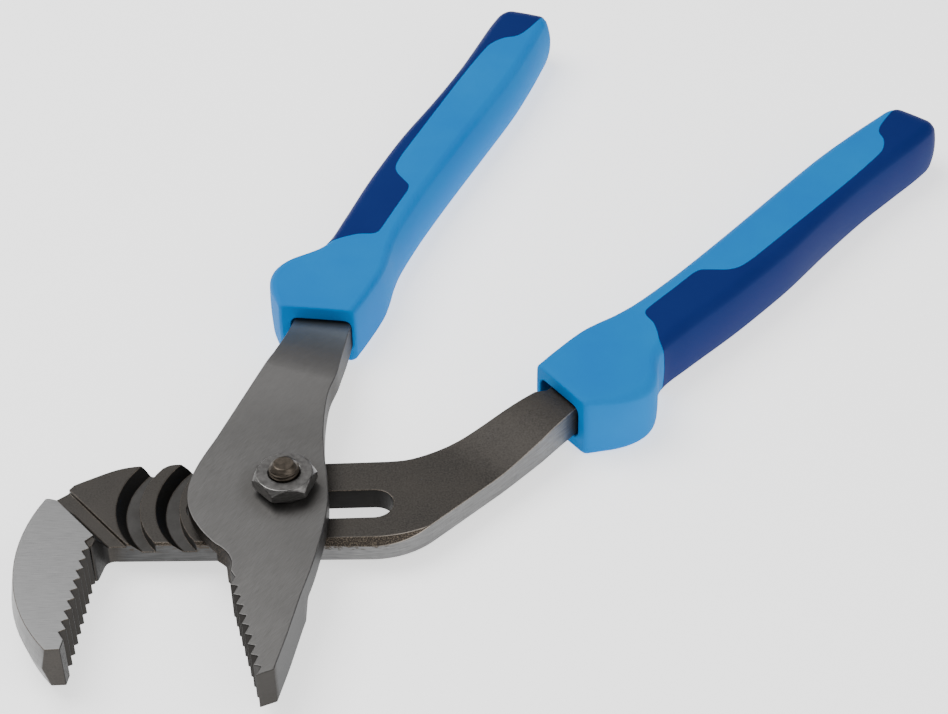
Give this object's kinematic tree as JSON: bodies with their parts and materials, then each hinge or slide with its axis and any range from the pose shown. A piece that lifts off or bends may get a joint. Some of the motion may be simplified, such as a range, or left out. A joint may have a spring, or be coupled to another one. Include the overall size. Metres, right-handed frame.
{
  "type": "tongue and groove pliers",
  "caption": "Adjustable slip-jaw pliers with curved toothed jaws, a slotted lever with grooves, a bolt and nut pivot, and two-tone moulded grips.",
  "frame": {"origin": "on the pivot axis at the underside of the bolt's head, the plane that the pliers rest on", "axes": "+X along the slot from the jaws towards the handles, +Z along the pivot axis from the bolt's head to the nut, +Y from the jaws' open side to the lever's back"},
  "size_m": [0.2032, 0.2348, 0.0196],
  "materials": {
    "dark_forged_steel": "dark blasted forging, satin",
    "ground_steel": "fine ground, satin",
    "bolt_steel": "brown tinted, satin",
    "plated_steel": "plated, semi-bright",
    "light_grip": "satin soft plastic",
    "dark_grip": "satin soft plastic"
  },
  "bodies": {
    "groove_side": {"groove_lever": "dark_forged_steel", "groove_grip_shell": "light_grip", "groove_grip_inlay": "dark_grip"},
    "pivot": {"pivot_bolt": "bolt_steel", "pivot_nut": "plated_steel"},
    "tongue_side": {"tongue_lever": "ground_steel", "tongue_grip_shell": "light_grip", "tongue_grip_inlay": "dark_grip"}
  },
  "joints": [
    {"name": "channel_slide", "type": "slide", "parent": "groove_side", "child": "pivot", "axis": [1, 0, 0], "range_m": [-0.016, 0.016]},
    {"name": "jaw_pivot", "type": "hinge", "parent": "pivot", "child": "tongue_side", "pos_m": [0, 0, 0], "axis": [0, 0, 1], "range_deg": [-23.5, 30]}
  ]
}
